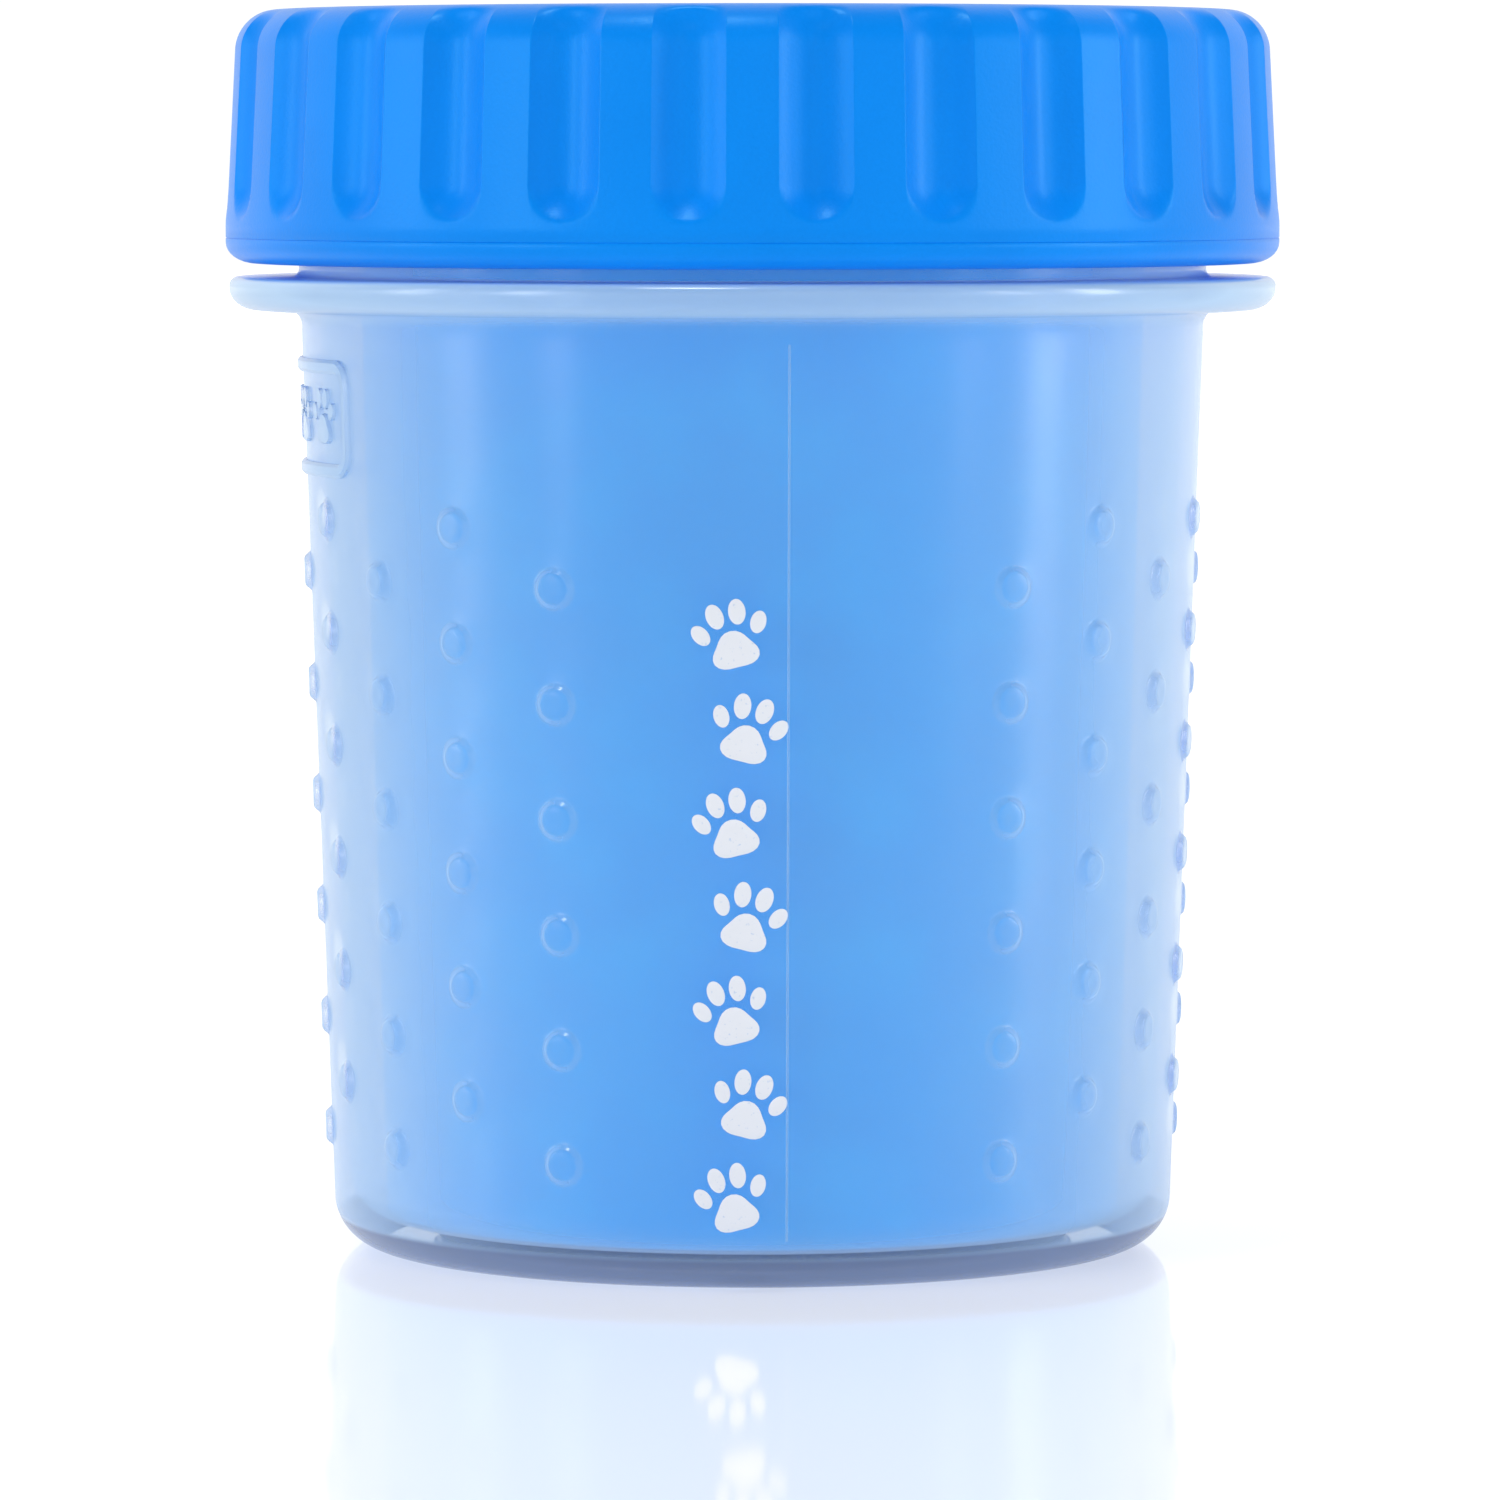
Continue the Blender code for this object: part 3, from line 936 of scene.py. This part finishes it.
    def parting_line(self, finish: bpy.types.Material) -> bpy.types.Object:
        """The hair-thin witness line of the mould, at the front and at the back.

        Args:
            finish: The cup's material.

        Returns:
            The finished piece.
        """
        proud, half, root = 0.06 * MM, 0.11 * MM, -0.1 * MM
        w = self.wall
        path = [(w.radius(self.corner_r), self.corner_r), (w.top[0], w.top[1] - 0.9 * MM)]
        path = refined(path, 8 * MM)
        bm = bmesh.new()
        rings = []
        for radius, height in path:
            section = ((-half, root), (half, root), (half * 0.5, proud), (-half * 0.5, proud))
            rings.append([bm.verts.new((x, -(radius + out), height)) for x, out in section])
        join_rings(bm, rings)
        bm.faces.new(rings[0])
        bm.faces.new(rings[-1])
        line = new_piece("cup_parting_line", bm)
        ring_recipe().cook(line, {"Count": 2}, finish)
        return line

    def name_frame(self, finish: bpy.types.Material) -> bpy.types.Object:
        """The raised frame of the name panel, wrapped round the wall at -X.

        Args:
            finish: The cup's material.

        Returns:
            The finished piece.
        """
        width, height, centre = self.panel
        line, lift, root = self.panel_line, self.panel_rise, -0.15 * MM
        middle = -self.wall.flat_radius * math.pi / 2
        sections = [(0.0, root), (0.0, lift * 0.55), (0.22, lift), (0.78, lift), (1.0, lift * 0.55),
                    (1.0, root)]
        bm = bmesh.new()
        rings = []
        for share, proud in sections:
            inset = line * share
            loop = rounded_loop(width - 2 * inset, height - 2 * inset, self.panel_corner - inset, 24)
            rings.append([bm.verts.new((middle + x, centre + y, proud)) for x, y in loop])
        join_rings(bm, rings + rings[:1])
        piece = new_piece("cup_name_frame", bm)
        wrapper = Recipe("wrap")
        wrapper.close(wrap_round(wrapper, wrapper.start.outputs[0]))
        wrapper.cook(piece, self.wall.sizes(), finish)
        smooth(piece)
        return piece

    def build(self, finish: bpy.types.Material) -> None:
        """Build every part of the cup and hang it on the cup's body.

        Args:
            finish: The cup's material.
        """
        body = self.body(finish)
        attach(body, "cup")
        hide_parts("cup")
        log.info("cup_body: %d faces", len(body.data.polygons))
        for piece in (self.thread(finish), self.parting_line(finish), self.name_frame(finish)):
            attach(piece, "cup")
            log.info("%s: %d faces", piece.name, len(piece.data.polygons))


def rounded_loop(width: float, height: float, radius: float, straight: int) -> list[Point]:
    """A rounded rectangle centred on the origin, with its long sides cut into equal pieces.

    Args:
        width: Its full width.
        height: Its full height.
        radius: The corners' radius.
        straight: How many pieces each long side is cut into.

    Returns:
        The points, once round.
    """
    points: list[Point] = []
    for sx, sy, start in ((1, 1, 0), (-1, 1, 90), (-1, -1, 180), (1, -1, 270)):
        centre = (sx * (width / 2 - radius), sy * (height / 2 - radius))
        points += arc(centre, radius, start, start + 90, 6)
        if start in (0, 180):
            run = (width - 2 * radius) * sx / straight
            points += [(centre[0] - run * i, centre[1] + radius * sy) for i in range(1, straight)]
    return points


def thread_ridge(name: str, root_r: float, crest_r: float, low: float, span: Point) -> bpy.types.Object:
    """One start of the thread, swept up its helix with tapered ends.

    Args:
        name: The object's name.
        root_r: Radius inside the wall that the ridge stands on.
        crest_r: Radius of its crest.
        low: Height of the helix at angle 0.
        span: First and last angle in degrees.

    Returns:
        The ridge as a closed piece.
    """
    root, crest, steps = 0.8 * MM, 0.4 * MM, 40
    bm = bmesh.new()
    rings = []
    for step in range(steps + 1):
        share = step / steps
        taper = min(1.0, 0.15 + 8 * share, 0.15 + 8 * (1 - share))
        turn = math.radians(span[0] + (span[1] - span[0]) * share)
        height = low + THREAD_LEAD * turn / math.tau
        tip = root_r + (crest_r - root_r) * taper
        bend = root_r + (tip - root_r) * 0.8
        section = ((root_r, -root), (root_r, root), (bend, crest * 1.25), (tip, crest * 0.7),
                   (tip, -crest * 0.7), (bend, -crest * 1.25))
        swell = 0.4 + 0.6 * taper
        rings.append([bm.verts.new((r * math.cos(turn), r * math.sin(turn), height + dz * swell))
                      for r, dz in section])
    join_rings(bm, rings)
    bm.faces.new(rings[0])
    bm.faces.new(rings[-1])
    return new_piece(name, bm)


@dataclass
class PawMarks:
    """A row of paw marks on the cup's wall, printed or raised.

    The spots are on the flat layout that wrap_round bends, and lean turns every other mark the other
    way.
    """

    name: str
    spots: list[Point]
    height: float
    scale: float = 1.0
    lean: float = 0.0
    wall: Wall = field(default_factory=Wall)

    @classmethod
    def walking(cls) -> "PawMarks":
        """Seven printed marks that walk up the wall beside the parting line.

        Returns:
            The row, ready to build.
        """
        count, low, high, beside, sway = 7, 8.2 * MM, 57.4 * MM, -4.2 * MM, 0.7 * MM
        spots = [(beside + sway * (i % 2 * 2 - 1), low + (high - low) * i / (count - 1))
                 for i in range(count)]
        return cls("paw_marks", spots, 0.05 * MM, lean=math.radians(-14))

    @classmethod
    def in_panel(cls, wall: Wall, panel: tuple[float, float, float]) -> "PawMarks":
        """Four raised marks side by side inside the name panel.

        Args:
            wall: The wall that the panel is on.
            panel: The panel's width, height and middle height.

        Returns:
            The row, ready to build.
        """
        pitch, middle = 7.2 * MM, -wall.flat_radius * math.pi / 2
        spots = [(middle + pitch * i, panel[2]) for i in (-1.5, -0.5, 0.5, 1.5)]
        return cls("cup_panel_marks", spots, 0.35 * MM, scale=0.85)

    def pad(self, bm: bmesh.types.BMesh, centre: Point, radii: Point, turn: float,
            lobes: float = 0.0) -> None:
        """One pad of the mark: a low closed pillow.

        Args:
            bm: The mesh that gains the pad.
            centre: The pad's centre.
            radii: Its half width and half height.
            turn: How far it is turned, in radians.
            lobes: How strongly its lower side is scalloped.
        """
        steps = 28
        spin = Matrix.Rotation(turn, 2)
        rings = []
        for share, proud in ((1.0, -0.03 * MM), (1.0, self.height * 0.4), (0.93, self.height),
                             (0.5, self.height)):
            ring = []
            for i in range(steps):
                t = math.tau * i / steps
                swell = (1.0 + lobes * math.cos(3 * t + math.pi / 2)) * share
                point = spin @ Vector((radii[0] * swell * math.cos(t), radii[1] * swell * math.sin(t)))
                place = (Vector(centre) + point) * self.scale
                ring.append(bm.verts.new((place.x, place.y, proud)))
            rings.append(ring)
        join_rings(bm, rings)
        bm.faces.new(rings[0])
        bm.faces.new(rings[-1])

    def mark(self) -> bpy.types.Object:
        """One paw mark, about seven millimetres across at full scale.

        Returns:
            A helper object centred on its own origin.
        """
        bm = bmesh.new()
        self.pad(bm, (0.0, -1.25 * MM), (1.95 * MM, 1.6 * MM), 0.0, 0.13)
        for side in (-1, 1):
            self.pad(bm, (side * 2.55 * MM, 0.75 * MM), (0.68 * MM, 1.0 * MM), side * -0.5)
            self.pad(bm, (side * 0.98 * MM, 2.05 * MM), (0.75 * MM, 1.12 * MM), side * -0.14)
        return new_piece("paw_mark", bm)

    def build(self, finish: bpy.types.Material) -> None:
        """Put the row on the cup.

        Args:
            finish: The marks' material.
        """
        mesh = bpy.data.meshes.new(self.name)
        mesh.from_pydata([(x, y, 0.0) for x, y in self.spots], [], [])
        row = bpy.data.objects.new(self.name, mesh)
        bpy.context.collection.objects.link(row)
        mark = self.mark()
        mark_recipe().cook(row, {"Mark": mark, "Lean": self.lean, **self.wall.sizes()}, finish)
        discard(mark)
        smooth(row)
        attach(row, "cup")
        log.info("%s: %d faces", self.name, len(row.data.polygons))


@dataclass
class LidRing:
    """The fluted screw ring with its open mouth.

    The meridians are shares of half a pitch from the middle of a flute, close together at its edge.
    """

    low: float = 89.2 * MM
    low_r: float = 47.7 * MM
    low_edge: Point = (2.6 * MM, 1.9 * MM)
    high_r: float = 46.9 * MM
    high: float = 108.2 * MM
    top: float = 112.0 * MM
    shoulder_r: float = 3.8 * MM
    bore_r: float = 43.9 * MM
    under: float = 109.0 * MM
    mouth_r: float = 36.8 * MM
    rebate_r: float = 40.2 * MM
    rebate: float = 110.5 * MM
    flutes: int = 27
    first_land: float = math.radians(-94.5)
    flute_share: float = 0.59
    meridians: tuple[float, ...] = (0.0, 0.1, 0.2, 0.3, 0.4, 0.49, 0.55, 0.58, 0.59, 0.605, 0.64, 0.8)
    seam_rise: float = 2.3 * MM
    flute_low: float = 93.3 * MM
    flute_half: float = 3.25 * MM
    flute_depth: float = 1.45 * MM
    ridge: tuple[float, float, float, float] = (42.1 * MM, 94.5 * MM, 10.0, 70.0)

    def outline(self) -> list[Point]:
        """The ring's section, from the bottom edge up the outside and down the inside.

        Returns:
            The points, once round.
        """
        soft, groove = 0.45 * MM, 0.07 * MM
        taper = (self.low_r - self.high_r) / (self.high - self.flute_low)
        seam = self.low + self.seam_rise
        edge = oval_edge(self.low_r, self.low, self.low_edge, -90, 8)
        band = [(self.low_r, seam - groove), (self.low_r - groove, seam), (self.low_r, seam + groove)]
        grip = refined([(self.low_r, self.flute_low - 0.5 * MM),
                        (self.low_r - taper * 4.5 * MM, self.flute_low + 4.0 * MM)], 0.3 * MM)
        skirt = refined([grip[-1], (self.high_r, self.high)], 1.6 * MM)[1:]
        shoulder_in = (self.high_r - self.shoulder_r, self.top - self.shoulder_r)
        shoulder = arc(shoulder_in, self.shoulder_r, 0, 90, 14)
        lip = arc((self.rebate_r + soft, self.top - soft), soft, 90, 180, 4)
        step = [(self.rebate_r, self.rebate), (self.mouth_r + soft, self.rebate)]
        mouth = arc((self.mouth_r + soft, self.rebate - soft), soft, 90, 180, 4)
        inside = [(self.mouth_r, self.under), (self.bore_r, self.under), (self.bore_r, self.low + soft),
                  (self.bore_r + soft, self.low)]
        return edge + band + grip + skirt + shoulder + lip + step + mouth + inside

    def turns(self) -> list[float]:
        """The angles of the ring's meridians.

        Returns:
            The angles, once round from the first land.
        """
        half = math.pi / self.flutes
        shares = sorted({-m for m in self.meridians} | set(self.meridians) | {1.0})
        return [self.first_land + half * (2 * i + 1 + share) for i in range(self.flutes)
                for share in shares]

    def ring(self, finish: bpy.types.Material) -> bpy.types.Object:
        """Turn the ring and sink its flutes.

        Args:
            finish: The lid's material.

        Returns:
            The finished piece.
        """
        bm = bmesh.new()
        turn_outline(bm, self.outline(), self.turns(), closed=True)
        ring = new_piece("lid_ring_fine", bm)
        flute_recipe().cook(ring, {
            "Count": float(self.flutes), "Depth": self.flute_depth, "Half Width": self.flute_half,
            "First Land": self.first_land, "Half Turn": self.flute_share * math.pi / self.flutes,
            "End Height": self.flute_low + self.flute_half, "Inner Radius": self.bore_r + 0.3 * MM,
            "Outer Radius": self.high_r - 0.4 * MM}, finish)
        smooth(ring, 60.0)
        return ring

    def thread(self, finish: bpy.types.Material) -> bpy.types.Object:
        """The four ridges inside the skirt.

        Args:
            finish: The lid's material.

        Returns:
            The finished piece.
        """
        crest, low, start, end = self.ridge
        ridge = thread_ridge("lid_thread", self.bore_r + 0.2 * MM, crest, low, (start, end))
        ring_recipe().cook(ridge, {"Count": THREAD_STARTS}, finish)
        smooth(ridge)
        return ridge

    def build(self, finish: bpy.types.Material) -> None:
        """Build the ring and its thread on the lid's body.

        Args:
            finish: The lid's material.
        """
        ring = self.ring(finish)
        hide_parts("lid_ring")
        for piece in (ring, self.thread(finish)):
            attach(piece, "lid")
            log.info("%s: %d faces", piece.name, len(piece.data.polygons))


@dataclass
class BristleInsert:
    """The soft sleeve with its rim and its staggered fingers."""

    wall: float = 1.6 * MM
    low: Point = (33.3 * MM, 3.2 * MM)
    top: Point = (36.1 * MM, 110.8 * MM)
    rim_r: float = 39.9 * MM
    rim_top: float = 111.8 * MM
    columns: int = 18
    rows: int = 9
    pitch: float = 10.8 * MM
    first: float = 11.4 * MM
    reach: float = 13.9 * MM
    root_r: float = 1.75 * MM
    tip_r: float = 1.05 * MM
    lean: float = math.radians(2.5)
    turn_steps: int = 120

    def sleeve(self, finish: bpy.types.Material) -> bpy.types.Object:
        """The sleeve with its rounded rim.

        Args:
            finish: The insert's material.

        Returns:
            The finished piece.
        """
        soft = (self.rim_top - self.top[1]) / 2 - 0.02 * MM
        bead, foot, root = 0.7 * MM, 0.4 * MM, 0.3 * MM
        rim = arc((self.rim_r - soft, self.rim_top - soft), soft, 90, -90, 8)
        inner_top = self.top[0] - self.wall
        inner_low = self.low[0] - self.wall
        inside = [(inner_low + foot, self.low[1]), (inner_low, self.low[1] + foot)]
        lip = arc((inner_top + bead, self.rim_top - bead), bead, 180, 90, 6)
        outline = rim + [(self.top[0] + root, self.top[1]), (self.top[0], self.top[1] - root), self.low]
        bm = bmesh.new()
        turn_outline(bm, refined(outline + inside + lip, 9 * MM), even_turns(self.turn_steps), closed=True)
        piece = new_piece("insert_sleeve_fine", bm)
        piece.data.materials.append(finish)
        smooth(piece)
        return piece

    def fingers(self, finish: bpy.types.Material) -> bpy.types.Object:
        """All fingers, each flared into the sleeve and round at the tip.

        Args:
            finish: The insert's material.

        Returns:
            The finished piece.
        """
        profile = [(-0.25 * MM, self.root_r * 1.35), (0.35 * MM, self.root_r * 1.1),
                   (1.2 * MM, self.root_r), (self.reach - self.tip_r, self.tip_r * 1.04)]
        profile += [(self.reach - self.tip_r * (1 - math.sin(t)), self.tip_r * math.cos(t))
                    for t in (math.radians(35), math.radians(65))]
        bm = bmesh.new()
        sides = 10
        rings = []
        for reach, radius in profile:
            turns = [math.tau * i / sides for i in range(sides)]
            rings.append([bm.verts.new((-reach, radius * math.cos(t), radius * math.sin(t)))
                          for t in turns])
        join_rings(bm, rings)
        bm.faces.new(rings[0])
        bm.faces.new(rings[-1])
        piece = new_piece("insert_fingers", bm)
        slope = (self.top[0] - self.low[0]) / (self.top[1] - self.low[1])
        finger_recipe().cook(piece, {
            "Columns": float(self.columns), "Rows": float(self.rows), "Pitch": self.pitch,
            "Low Height": self.first, "Slope": slope, "Lean": self.lean,
            "Low Radius": self.low[0] - self.wall + slope * (self.first - self.low[1])}, finish)
        smooth(piece, 50.0)
        return piece

    def build(self, finish: bpy.types.Material) -> None:
        """Build the sleeve and its fingers on the insert's body.

        Args:
            finish: The insert's material.
        """
        sleeve, fingers = self.sleeve(finish), self.fingers(finish)
        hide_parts("insert_sleeve")
        columns = [node for node in frame["nodes"] if node.startswith("bristle_column")]
        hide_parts(*columns)
        for piece in (sleeve, fingers):
            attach(piece, "insert")
            log.info("%s: %d faces", piece.name, len(piece.data.polygons))


# The studio


@dataclass(frozen=True)
class Lamp:
    """One rectangular soft lamp: where it hangs, its width and height, and its power in watts."""

    name: str
    place: tuple[float, float, float]
    size: Point
    power: float


@dataclass
class Studio:
    """A white floor, soft lamps and the camera.

    Strengths are those of the world's white and of the floor's own glow. The wall's and the backdrop's
    numbers are parts of a unit direction: the room is white below wall_top all round, and towards +Y.
    """

    distance: float = 0.8
    eye: float = 100.3 * MM
    aim: float = 44.88 * MM
    azimuth: float = math.radians(-4.5)
    view_width: float = 136.25 * MM
    aside: float = -0.23 * MM
    sensor: float = 36.0
    room_light: float = 0.24
    white: float = 1.05
    wall_top: float = 0.3
    backdrop: Point = (0.15, 0.5)
    floor_glow: float = 0.39
    floor_half: float = 6.0
    floor_finish: Finish = Finish("floor_white", (0.6, 0.61, 0.62), 0.07, specular=0.11)
    spread: float = math.radians(120)
    lamps: tuple[Lamp, ...] = (
        Lamp("left_box", (-0.9, -0.12, 0.2), (0.14, 0.7), 0.64),
        Lamp("right_box", (0.87, -0.24, 0.2), (0.16, 0.7), 1.12),
        Lamp("left_fill", (-0.76, -0.55, 0.25), (0.14, 0.5), 0.6),
        Lamp("right_fill", (0.72, -0.58, 0.25), (0.12, 0.5), 0.36),
        Lamp("top_box", (-0.2, -0.3, 1.2), (0.22, 0.22), 1.6),
        Lamp("front_fill", (0.15, -1.0, 0.5), (0.5, 0.4), 0.2))
    lamp_aim: tuple[float, float, float] = (0.0, 0.0, 0.06)

    def camera(self) -> None:
        """Stand the camera at the level of the lid."""
        data = bpy.data.cameras.new("camera")
        data.sensor_width = self.sensor
        data.lens = self.sensor * self.distance / self.view_width
        camera = bpy.data.objects.new("camera", data)
        bpy.context.collection.objects.link(camera)
        sine, cosine = math.sin(self.azimuth), math.cos(self.azimuth)
        place = Vector((self.distance * sine, -self.distance * cosine, self.eye))
        target = Vector((self.aside * cosine, self.aside * sine, self.aim))
        camera.location = place
        camera.rotation_euler = (target - place).to_track_quat("-Z", "Y").to_euler()
        bpy.context.scene.camera = camera

    def hang(self, lamp: Lamp) -> None:
        """Hang one lamp, turned to the object.

        Args:
            lamp: The lamp to hang.
        """
        data = bpy.data.lights.new(lamp.name, "AREA")
        data.shape = "RECTANGLE"
        data.size, data.size_y = lamp.size
        data.energy = lamp.power
        data.spread = self.spread
        made = bpy.data.objects.new(lamp.name, data)
        bpy.context.collection.objects.link(made)
        made.location = lamp.place
        aim = Vector(self.lamp_aim) - Vector(lamp.place)
        made.rotation_euler = aim.to_track_quat("-Z", "Y").to_euler()

    def floor(self) -> None:
        """Lay the pale floor with a faint gloss."""
        bm = bmesh.new()
        bmesh.ops.create_grid(bm, x_segments=1, y_segments=1, size=self.floor_half)
        floor = new_piece("floor", bm, outward=False)
        finish = self.floor_finish.material()
        shader = finish.node_tree.nodes["Principled BSDF"]
        shader.inputs["Emission Color"].default_value = (1.0, 1.0, 1.0, 1.0)
        shader.inputs["Emission Strength"].default_value = self.floor_glow
        floor.data.materials.append(finish)

    def sky(self) -> None:
        """Fill the room with white: bright to the camera, at the back and low all round, softer above."""
        world = bpy.data.worlds.new("room")
        bpy.context.scene.world = world
        world.use_nodes = True
        tree = Tree(world.node_tree)
        background = world.node_tree.nodes["Background"]
        seen = tree.value("ShaderNodeLightPath", output="Is Camera Ray")
        _, back, up = tree.split(tree.node("ShaderNodeTexCoord").outputs["Generated"])
        wall = tree.math("MAXIMUM", tree.ease(up, self.wall_top, 0.5 * self.wall_top),
                         tree.ease(back, *self.backdrop))
        white = tree.math("MAXIMUM", seen, wall)
        tree.data.links.new((white * (self.white - self.room_light) + self.room_light).socket,
                            background.inputs["Strength"])
        background.inputs["Color"].default_value = (1.0, 1.0, 1.0, 1.0)

    def build(self) -> None:
        """Set the whole studio up."""
        bpy.context.scene.view_settings.view_transform = "Standard"
        self.camera()
        self.floor()
        self.sky()
        for lamp in self.lamps:
            self.hang(lamp)


def main() -> None:
    """Build the studio and every piece."""
    logging.basicConfig(level=logging.INFO, format="%(message)s")
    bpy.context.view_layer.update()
    Studio().build()
    cup = MilkyPlastic("cup_milky", (0.42, 0.63, 0.88), 0.2, 0.9).material()
    blue = MouldedBlue("lid_moulded_blue", (0.0, 0.24, 0.88), 0.34, 0.36, (0.25, 0.8, 1.0)).material()
    silicone = Silicone("insert_silicone", (0.0, 0.375, 0.93), 0.5, 0.1, pale=(0.0, 0.42, 0.97)).material()
    rubber = Silicone("gasket_rubber", (0.72, 0.76, 0.82), 0.6, 0.3, pale=(0.8, 0.83, 0.87)).material()
    ink = PrintedInk("white_ink", (0.84, 0.87, 0.93), 0.5, 0.3).material()
    vessel = Cup()
    vessel.build(cup)
    PawMarks.walking().build(ink)
    PawMarks.in_panel(vessel.wall, vessel.panel).build(cup)
    LidRing().build(blue)
    BristleInsert().build(silicone)
    gasket = frame["nodes"]["lid_gasket"]
    for slot in gasket.material_slots:
        slot.material = rubber
    log.info("lid_gasket: the packed ring in rubber")


if __name__ == "__main__":
    main()
